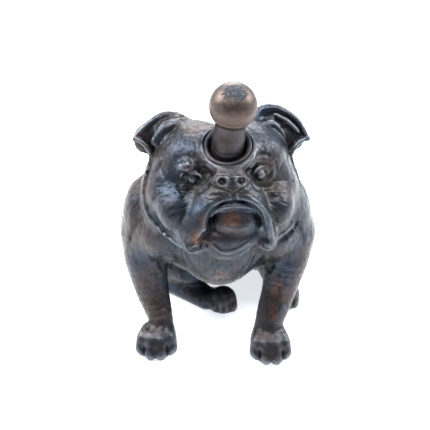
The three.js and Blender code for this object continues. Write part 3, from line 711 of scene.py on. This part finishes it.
def hollows(c):
    """The rooms of the casting: for coins, for the collar and for the press mechanism."""
    c.ball((1, 18, 64), (32, 29, 29), 0.5, carve=True)
    c.ball((2, 0, 91), (20, 17, 19), 0.5, carve=True)
    shafts = ((-34, -35, 14.5), (-34, -50, 11), (-40, -4, 10.3), (2, 30, 11.6))  # from, to and radius
    for first, last, radius in shafts:
        c.limb(on_knob((0, 0, first)), radius, on_knob((0, 0, last)), radius, 0.4, True)
    c.cut_block((-13.5, 33.7, 70), (17.5, 38.3, 114))  # coin slot
    c.cut_block((-15, 12.3, 20), (15, 44.3, 62))  # chute
    c.cut_block((-24, 7.3, -5), (24, 51.3, 23.3))  # recess in the seat


def fur_mask(x, y, z):
    """Where the coat is long: weak on the feet and the face."""
    low = np.clip((z - 14) / 12, 0, 1)
    face = (x - 4) ** 2 / 26**2 + (y + 30) ** 2 / 22**2 + (z - 100) ** 2 / 26**2
    return low * np.clip(face - 0.8, 0.12, 1)


def make_clay(low, high, voxel):
    """The whole dog on one grid, as far as it reaches between two corners."""
    c = Clay(low, high, voxel)
    sculpt_body(c)
    sculpt_head(c)
    bib(c)
    hairs(c)
    c.texture((1.7, 1.7, 6.5), 0.08, 5, fur_mask)
    c.texture((2.6, 2.6, 2.6), 0.06, 9, lambda x, y, z: 1)
    hollows(c)
    return c


def stand(c):
    """Cuts the feet flat on the floor."""
    c.field = np.maximum(c.field, -c.grid()[2])


def put(name, mesh, material):
    mesh.materials.append(material)
    obj = bpy.data.objects.new(name, mesh)
    bpy.context.scene.collection.objects.link(obj)
    return obj


def skin(name, c, material):
    """The clay's surface as a mesh that carries its own normals and where it is worn, creased and green."""
    verts, quads, slope, relief, form = c.mesh()
    mesh = bpy.data.meshes.new(name)
    mesh.vertices.add(len(verts))
    mesh.vertices.foreach_set("co", in_frame(verts).astype(np.float32).ravel())
    mesh.loops.add(len(quads) * 4)
    mesh.loops.foreach_set("vertex_index", quads.astype(np.int32).ravel())
    mesh.polygons.add(len(quads))
    mesh.polygons.foreach_set("loop_start", np.arange(0, len(quads) * 4, 4, dtype=np.int32))
    mesh.update(calc_edges=True)
    mesh.validate()
    mesh.shade_smooth()
    mesh.normals_split_custom_set_from_vertices(slope)
    paint(mesh, "relief", relief)
    paint(mesh, "form", form)
    paint(mesh, "copper", copper(verts))
    paint(mesh, "verdigris", verdigris(verts))
    return put(name, mesh, material)


def paint(mesh, name, values):
    layer = mesh.attributes.new(name, "FLOAT", "POINT")
    layer.data.foreach_set("value", values.astype(np.float32))


def spots(verts, head, body):
    """The strongest of several soft spots, each a centre, radii and strength."""
    places = [(on_head(centre), radii, strength) for centre, radii, strength in head] + list(body)
    total = np.zeros(len(verts))
    for centre, radii, strength in places:
        d = (((verts - np.array(centre)) / np.array(radii)) ** 2).sum(1)
        total = np.maximum(total, strength * np.exp(-d))
    return total


def copper(verts):
    """Where hands have worn the patina through."""
    head = (
        ((-0.5, -33, -16), (8.5, 5, 4.5), 1.25),  # lower lip
        ((-12.8, -32, -17), (2, 4, 5.5), 1.5),  # right flew
        ((-15.8, -29.5, -24), (2.4, 5, 5), 1.5),
        ((-19, -25.5, 6.5), (4.5, 3.5, 3), 0.9),  # brows
        ((-29, -17, 1), (4, 6, 9), 0.45),
        ((20, -23, 9), (4, 3, 3), 0.5),
        ((-36, -4, -10), (4, 6, 14), 0.5),  # cheek
        ((-25, 0, 32), (10, 5, 5), 0.4),  # ears
        ((-41, -2, 22), (5, 4, 8), 0.6),
        ((30, 0, 33), (12, 5, 4), 0.5),
        ((43, -2, 20), (4, 4, 8), 0.5),
    )
    body = (
        ((33, -22, 34), (5, 8, 10), 1),  # left foreleg
        ((30, -27, 22), (4, 7, 8), 1.1),
        ((24, -30, 30), (3, 6, 9), 0.7),
        ((2, -33, 54), (5, 5, 6), 0.95),  # chest
        ((-40, -14, 62), (9, 10, 14), 0.45),  # right shoulder and foreleg
        ((-34, -30, 12), (5, 5, 5), 0.3),
        ((-46, 0, 50), (6, 12, 18), 0.3),
    )
    return spots(verts, head, body)


def verdigris(verts):
    """Where green has gathered in the creases."""
    head = (
        ((0, -33, -2), (11, 5, 4), 1),  # under the nose
        ((18, -22, 0), (10, 6, 9), 0.9),  # under the eyes
        ((-16, -24, 0), (9, 6, 6), 0.6),
        ((24, -20, -10), (7, 8, 12), 0.6),
    )
    body = (
        ((-2, -34, 56), (18, 8, 14), 0.9),  # chest
        ((2, -6, 8), (9, 9, 8), 0.7),  # paws
        ((-33, -35, 6), (10, 8, 7), 0.5),
        ((28, -38, 6), (10, 8, 7), 0.4),
    )
    return spots(verts, head, body)


# ---- Turned metal ----


def bridge(bm, a, b):
    """A band of faces between two rings, either of which may be a single point."""
    count = max(len(a), len(b))
    for i in range(count):
        j = (i + 1) % count
        corners = [a[i % len(a)], a[j % len(a)], b[j % len(b)], b[i % len(b)]]
        bm.faces.new(list(dict.fromkeys(corners)))


def metal(name, bm, material):
    """The finished object of a turned or wound piece."""
    bmesh.ops.recalc_face_normals(bm, faces=bm.faces)
    mesh = bpy.data.meshes.new(name)
    bm.to_mesh(mesh)
    bm.free()
    mesh.shade_smooth()
    mesh.set_sharp_from_angle(angle=math.radians(50))
    return put(name, mesh, material)


def lathe(name, profile, material, rim=None, segments=96):
    """A closed solid of revolution about the stem. Heights near rim are counted from the forehead's slope."""
    bm = bmesh.new()
    rings = []
    for radius, height in profile:
        if radius < 1e-6:
            rings.append([bm.verts.new(in_frame(on_knob((0, 0, height))))])
            continue
        ring = []
        for i in range(segments):
            angle = 2 * math.pi * i / segments
            flat = np.array([radius * math.cos(angle), radius * math.sin(angle), 0])
            level = height
            if rim is not None and height > rim - 5:
                level = (height - rim - RIM_NORMAL @ (KNOB_TURN @ flat)) / (RIM_NORMAL @ KNOB_TURN[:, 2])
            ring.append(bm.verts.new(in_frame(on_knob((flat[0], flat[1], level)))))
        rings.append(ring)
    for a, b in zip(rings, rings[1:]):
        bridge(bm, a, b)
    if len(rings[0]) > 1:
        bridge(bm, rings[-1], rings[0])
    return metal(name, bm, material)


def rounded(points, per=4):
    """The same profile with its inner corners softened by short curves."""
    out = [points[0]]
    for before, here, after in zip(points, points[1:], points[2:]):
        b, h, a = (np.array(p, float) for p in (before, here, after))
        reach = min(0.6, 0.4 * np.linalg.norm(h - b), 0.4 * np.linalg.norm(a - h))
        start = h + (b - h) / (np.linalg.norm(b - h) + 1e-9) * reach
        end = h + (a - h) / (np.linalg.norm(a - h) + 1e-9) * reach
        for t in np.linspace(0, 1, per):
            out.append(tuple((1 - t) ** 2 * start + 2 * t * (1 - t) * h + t**2 * end))
    out.append(points[-1])
    return out


BALL = 10.8  # radius of the knob's ball
BALL_AT = 21.0


def knob_profile():
    """Shank, groove, neck and bead as (radius, height), then the ball."""
    points = [(0, -13), (7.2, -13), (7.6, -12.5), (7.6, -0.4), (7.45, 0), (7.6, 0.4), (7.6, 4.4), (7.5, 5.8)]
    points += [(7.25, 7.2), (7.05, 9), (7, 11), (7.2, 12.8), (7.8, 13.9), (8.6, 14.5), (9.1, 15.2)]
    points += [(9.25, 16), (9.05, 16.8)]
    out = rounded(points, 3)
    for i in range(25):
        angle = math.radians(-21 + (111 * i) / 24)
        out.append((BALL * math.cos(angle) if i < 24 else 0, BALL_AT + BALL * math.sin(angle)))
    return out


SLEEVE_TOP = 40.0  # stands for the sloping rim in the collar's profile


def sleeve_profile():
    """Outside, rounded rim, mouth, bore and floor of the collar as (radius, height)."""
    outside = [(2.8, -31), (9.8, -31), (10, -30.8), (10, -8), (11.2, -8), (11.4, -7.8)]
    rim = [(11.4, -0.3), (11.3, 0.3), (10.9, 0.8), (10.4, 1), (9.8, 0.9), (9.3, 0.5), (8.9, 0)]
    inside = [(8.9, -6), (8.2, -7), (8.2, -28), (2.8, -28)]
    return outside + [(radius, SLEEVE_TOP + height) for radius, height in rim] + inside


SPRING = {"coil": 6, "wire": 0.6, "turns": 3, "bottom": -26.4, "top": -13.3}


def spring_coil(name, material, steps=96, sides=10):
    """A round wire wound about the knob's axis."""
    coil, wire, turns = SPRING["coil"], SPRING["wire"], SPRING["turns"]
    bottom, top = SPRING["bottom"] + wire, SPRING["top"] - wire
    climb = (top - bottom) / (turns * 2 * math.pi)
    bm = bmesh.new()
    rings = []
    for i in range(steps + 1):
        angle = 2 * math.pi * turns * i / steps
        outward = np.array([math.cos(angle), math.sin(angle), 0])
        along = np.array([-coil * math.sin(angle), coil * math.cos(angle), climb])
        across = np.cross(along / np.linalg.norm(along), outward)
        centre = coil * outward + np.array([0, 0, bottom + climb * angle])
        ring = []
        for k in range(sides):
            turned = 2 * math.pi * k / sides
            at = centre + wire * (math.cos(turned) * outward + math.sin(turned) * across)
            ring.append(bm.verts.new(in_frame(on_knob(at))))
        rings.append(ring)
    for a, b in zip(rings, rings[1:]):
        bridge(bm, a, b)
    bm.faces.new(rings[0])
    bm.faces.new(rings[-1])
    return metal(name, bm, material)


# ---- Materials ----


class Nodes:
    """A short way to build a node tree."""

    def __init__(self, name):
        self.material = bpy.data.materials.new(name)
        self.material.use_nodes = True
        self.tree = self.material.node_tree
        self.shader = self.tree.nodes["Principled BSDF"]
        self.where = self.add("ShaderNodeTexCoord").outputs["Object"]

    def add(self, kind, **settings):
        node = self.tree.nodes.new(kind)
        for key, value in settings.items():
            setattr(node, key, value)
        return node

    def link(self, value, socket):
        if isinstance(value, bpy.types.NodeSocket):
            self.tree.links.new(value, socket)
        else:
            socket.default_value = value

    def noise(self, scale, detail=4.0, rough=0.55, stretch=None):
        node = self.add("ShaderNodeTexNoise")
        source = self.where
        if stretch:
            mapping = self.add("ShaderNodeMapping")
            self.link(source, mapping.inputs["Vector"])
            mapping.inputs["Scale"].default_value = stretch
            source = mapping.outputs["Vector"]
        self.link(source, node.inputs["Vector"])
        node.inputs["Scale"].default_value = scale
        node.inputs["Detail"].default_value = detail
        node.inputs["Roughness"].default_value = rough
        return node.outputs["Fac"]

    def attribute(self, name):
        return self.add("ShaderNodeAttribute", attribute_name=name).outputs["Fac"]

    def span(self, value, low, high, to_low=0.0, to_high=1.0):
        node = self.add("ShaderNodeMapRange")
        self.link(value, node.inputs["Value"])
        for key, number in (("From Min", low), ("From Max", high), ("To Min", to_low), ("To Max", to_high)):
            node.inputs[key].default_value = number
        return node.outputs["Result"]

    def maths(self, operation, a, b):
        node = self.add("ShaderNodeMath", operation=operation)
        self.link(a, node.inputs[0])
        self.link(b, node.inputs[1])
        return node.outputs[0]

    def mix(self, factor, a, b):
        node = self.add("ShaderNodeMix", data_type="RGBA")
        self.link(factor, node.inputs["Factor"])
        self.link(a, node.inputs["A"])
        self.link(b, node.inputs["B"])
        return node.outputs["Result"]

    def vector(self, operation, a, b=(0.0, 0.0, 0.0)):
        node = self.add("ShaderNodeVectorMath", operation=operation)
        self.link(a, node.inputs[0])
        self.link(b, node.inputs[1])
        return node

    def bump(self, height, strength, distance, normal=None):
        node = self.add("ShaderNodeBump")
        self.link(height, node.inputs["Height"])
        node.inputs["Strength"].default_value = strength
        node.inputs["Distance"].default_value = distance
        if normal is not None:
            self.link(normal, node.inputs["Normal"])
        return node.outputs["Normal"]

    def finish(self, colour, metallic, rough, normal):
        settings = {"Base Color": colour, "Metallic": metallic, "Roughness": rough, "Normal": normal}
        for key, value in settings.items():
            self.link(value, self.shader.inputs[key])
        return self.material


def rgb(r, g, b):
    return (r, g, b, 1.0)


def patina():
    """Blue-black bronze: brown and copper where it is worn, painted shade in the creases and hollows, and a
    painted highlight on the ridges.
    """
    n = Nodes("patina_bronze")
    relief = n.attribute("relief")
    form = n.attribute("form")
    broad = n.noise(38, 5, 0.6)
    fine = n.noise(560, 6, 0.7)
    grain = n.noise(1700, 3, 0.6)
    streak = n.noise(1100, 4, 0.65, (1.0, 1.0, 0.2))
    blue_black, brown = rgb(0.015, 0.026, 0.043), rgb(0.04, 0.027, 0.022)
    bare_copper, green = rgb(0.125, 0.052, 0.026), rgb(0.13, 0.115, 0.055)
    colour = n.mix(n.span(broad, 0.38, 0.62), blue_black, brown)
    colour = n.mix(n.span(fine, 0.35, 0.7, 0, 0.5), colour, rgb(0.01, 0.011, 0.014))
    scuff = n.noise(240, 6, 0.7, (1.0, 1.0, 0.45))
    worn = n.maths("ADD", n.attribute("copper"), n.maths("MULTIPLY", scuff, 1.6))
    worn = n.maths("MULTIPLY", n.span(worn, 1.25, 1.9), n.span(form, -0.25, 0.15))
    colour = n.mix(n.maths("MULTIPLY", worn, n.span(fine, 0.4, 0.58, 0.08, 0.85)), colour, bare_copper)
    salts = n.maths("MULTIPLY", n.attribute("verdigris"), n.span(relief, 0.02, -0.08))
    salts = n.maths("MULTIPLY", salts, n.span(fine, 0.38, 0.6))
    colour = n.mix(n.maths("MULTIPLY", salts, 0.8), colour, green)
    # painted shade: near-black in the broad hollows, where the broad relief lies below its surroundings
    colour = n.mix(n.span(form, -0.2, -1.0, 0, 0.6), colour, rgb(0.004, 0.004, 0.005))
    # painted shade: near-black in the fine creases
    colour = n.mix(n.span(relief, -0.02, -0.12, 0, 0.75), colour, rgb(0.005, 0.005, 0.006))
    colour = n.mix(n.span(grain, 0.48, 0.64, 0, 0.3), colour, rgb(0.06, 0.068, 0.08))
    # painted highlight: pale blue-grey on the fine ridges
    colour = n.mix(n.span(relief, 0.08, 0.24, 0, 0.6), colour, rgb(0.115, 0.13, 0.15))
    rough = n.span(n.maths("ADD", broad, fine), 0.7, 1.3, 0.24, 0.42)
    normal = n.bump(streak, 0.42, 0.0004)
    normal = n.bump(fine, 0.35, 0.0006, normal)
    normal = n.bump(grain, 0.22, 0.0003, normal)
    return n.finish(colour, 0.8, rough, normal)


def knob_metal(top):
    """Brown bronze with painted shade on its neck, and a pitted dark patch about the point top."""
    n = Nodes("knob_bronze_worn")
    broad = n.noise(60, 4, 0.6)
    fine = n.noise(700, 5, 0.7)
    speck = n.noise(1500, 2, 0.5)
    bands = n.noise(150, 5, 0.65, (0.35, 0.35, 1.6))
    offset = n.vector("SUBTRACT", n.where, top).outputs["Vector"]
    length = n.vector("LENGTH", n.vector("MULTIPLY", offset, (0.72, 1.0, 1.0)).outputs["Vector"])
    ragged = n.maths("MULTIPLY", n.maths("SUBTRACT", fine, 0.5), 0.006)
    patch = n.span(n.maths("ADD", length.outputs["Value"], ragged), 0.0045, 0.0034)
    # painted shade: below a set height the neck under the ball's bead is painted darker and bluer
    height = n.add("ShaderNodeSeparateXYZ")
    n.link(n.where, height.inputs[0])
    low = n.span(height.outputs["Z"], 0.1335, 0.128)
    colour = n.mix(n.span(broad, 0.35, 0.65), rgb(0.088, 0.064, 0.054), rgb(0.056, 0.046, 0.043))
    colour = n.mix(n.span(bands, 0.42, 0.62, 0, 0.6), colour, rgb(0.04, 0.034, 0.032))
    colour = n.mix(n.span(fine, 0.42, 0.7, 0, 0.45), colour, rgb(0.15, 0.105, 0.082))
    neck = n.mix(n.span(broad, 0.4, 0.6), rgb(0.04, 0.047, 0.06), rgb(0.034, 0.026, 0.025))
    colour = n.mix(n.maths("MULTIPLY", low, 0.9), colour, neck)
    colour = n.mix(n.maths("MULTIPLY", patch, 0.95), colour, rgb(0.014, 0.019, 0.026))
    dots = n.maths("MULTIPLY", n.span(speck, 0.62, 0.69, 0, 0.75), patch)
    colour = n.mix(dots, colour, rgb(0.2, 0.23, 0.25))
    rough = n.maths("ADD", n.span(fine, 0.3, 0.7, 0.36, 0.5), n.maths("MULTIPLY", patch, 0.25))
    normal = n.bump(fine, 0.22, 0.0003)
    normal = n.bump(n.maths("MULTIPLY", speck, patch), 0.6, 0.0008, normal)
    return n.finish(colour, n.span(patch, 0, 1, 0.9, 0.45), rough, normal)


def plain_metal(name, light, dark, rough):
    n = Nodes(name)
    broad = n.noise(90, 4, 0.6)
    fine = n.noise(1200, 3, 0.6, (1.0, 0.25, 1.0))
    colour = n.mix(n.span(broad, 0.35, 0.65), light, dark)
    rough = n.span(fine, 0.3, 0.7, rough - 0.07, rough + 0.1)
    return n.finish(colour, 1.0, rough, n.bump(fine, 0.15, 0.0002))


# ---- Build ----

bronze = patina()
knob_bronze = knob_metal(tuple(in_frame(on_knob((-0.3, -4.4, 30.9)))))
steel = plain_metal("worn_steel", rgb(0.42, 0.43, 0.44), rgb(0.27, 0.26, 0.25), 0.34)
brass = plain_metal("old_brass", rgb(0.42, 0.31, 0.15), rgb(0.25, 0.17, 0.08), 0.38)

FACE_AT = on_head((1, -26, -9))
face_clay = make_clay(FACE_AT - FACE_RADIUS - 2, FACE_AT + FACE_RADIUS + 2, FACE_VOXEL)
face_clay.keep_ball(FACE_AT, FACE_RADIUS, True)
face = skin("bulldog_face", face_clay, bronze)
head_clay = make_clay(*HEAD_BOX, HEAD_VOXEL)
head_clay.keep_ball(SPLIT_AT, SPLIT_RADIUS, True)
head_clay.keep_ball(FACE_AT, FACE_RADIUS - LAP, False)
head = skin("bulldog_head", head_clay, bronze)
body_clay = make_clay(*BODY_BOX, BODY_VOXEL)
body_clay.keep_ball(SPLIT_AT, SPLIT_RADIUS - LAP, False)
stand(body_clay)
body = skin("bulldog_body", body_clay, bronze)
for piece in (face, head, body):
    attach(piece, "dog")
    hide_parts("bulldog_casting")

knob = lathe("press_knob_turned", knob_profile(), knob_bronze)
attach(knob, "plunger")
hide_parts("press_knob")
collar = lathe("forehead_collar", sleeve_profile(), bronze, rim=SLEEVE_TOP)
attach(collar, "dog")
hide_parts("guide_sleeve")
spring = spring_coil("knob_spring", steel)
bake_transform(spring)
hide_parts("return_spring")

finishes = {"steel": steel, "plain_brass": brass, "bronze": bronze, "knob_bronze": knob_bronze}
slots = {part["node"]: part["material_slot"] for part in frame["record"]["subparts"]}
for name, node in frame["nodes"].items():
    node.data.materials.clear()
    node.data.materials.append(finishes[slots[name]])

# ---- Floor, light and camera ----


def floor():
    """A pale floor that glows a little, so that the dog's shadow stays light."""
    n = Nodes("pale_floor")
    colour = n.mix(n.noise(3, 2), rgb(0.68, 0.69, 0.70), rgb(0.70, 0.70, 0.705))
    n.link(colour, n.shader.inputs["Base Color"])
    n.shader.inputs["Roughness"].default_value = 0.6
    n.shader.inputs["Emission Color"].default_value = rgb(0.90, 0.95, 1.0)
    n.shader.inputs["Emission Strength"].default_value = 0.76
    bm = bmesh.new()
    bmesh.ops.create_grid(bm, x_segments=2, y_segments=2, size=3.0)
    mesh = bpy.data.meshes.new("floor")
    bm.to_mesh(mesh)
    bm.free()
    floor = put("floor", mesh, n.material)


def sky():
    """A cool light that grows towards the back, and plain white where the camera sees it."""
    world = bpy.data.worlds.new("studio")
    world.use_nodes = True
    nodes, links = world.node_tree.nodes, world.node_tree.links
    split = nodes.new("ShaderNodeSeparateXYZ")
    links.new(nodes.new("ShaderNodeTexCoord").outputs["Generated"], split.inputs[0])
    ramp = nodes.new("ShaderNodeMapRange")
    links.new(split.outputs["Y"], ramp.inputs["Value"])
    for key, number in (("From Min", -0.9), ("From Max", 0.7), ("To Min", 0.30), ("To Max", 1.35)):
        ramp.inputs[key].default_value = number
    light = nodes["Background"]
    light.inputs["Color"].default_value = rgb(0.90, 0.95, 1.0)
    links.new(ramp.outputs["Result"], light.inputs["Strength"])
    seen = nodes.new("ShaderNodeBackground")
    seen.inputs["Color"].default_value = rgb(1.0, 1.0, 1.0)
    pick = nodes.new("ShaderNodeMixShader")
    links.new(nodes.new("ShaderNodeLightPath").outputs["Is Camera Ray"], pick.inputs["Fac"])
    links.new(light.outputs[0], pick.inputs[1])
    links.new(seen.outputs[0], pick.inputs[2])
    links.new(pick.outputs[0], nodes["World Output"].inputs["Surface"])
    bpy.context.scene.world = world
    bpy.context.scene.view_settings.view_transform = "Standard"


def softbox(name, place, size, power):
    """A round lamp aimed at the middle of the dog."""
    data = bpy.data.lights.new(name, "AREA")
    data.shape = "DISK"
    data.size = size
    data.energy = power
    lamp = bpy.data.objects.new(name, data)
    lamp.location = place
    aim = Vector((0, -0.01, 0.06)) - Vector(place)
    lamp.rotation_euler = aim.to_track_quat("-Z", "Y").to_euler()
    bpy.context.scene.collection.objects.link(lamp)


def camera():
    """From in front, 37 degrees above the horizon."""
    elevation = math.radians(37)
    distance = 280.0
    target = np.array([-1.0, -30.0, 90.0])
    away = np.array([0.0, -math.cos(elevation), math.sin(elevation)])
    data = bpy.data.cameras.new("camera")
    data.lens = 50
    data.sensor_width = 36
    data.clip_start = 0.01
    obj = bpy.data.objects.new("camera", data)
    obj.location = Vector(in_frame(target + distance * away))
    obj.rotation_euler = (math.pi / 2 - elevation, 0, 0)
    bpy.context.scene.collection.objects.link(obj)
    bpy.context.scene.camera = obj


floor()
sky()
softbox("left_softbox", (-0.50, 0.05, 0.50), 0.40, 8.0)
softbox("right_softbox", (0.50, 0.10, 0.45), 0.40, 7.0)
softbox("back_softbox", (0.0, 0.60, 0.50), 0.50, 6.0)
softbox("top_softbox", (-0.1, -0.15, 0.80), 0.40, 8.0)
camera()
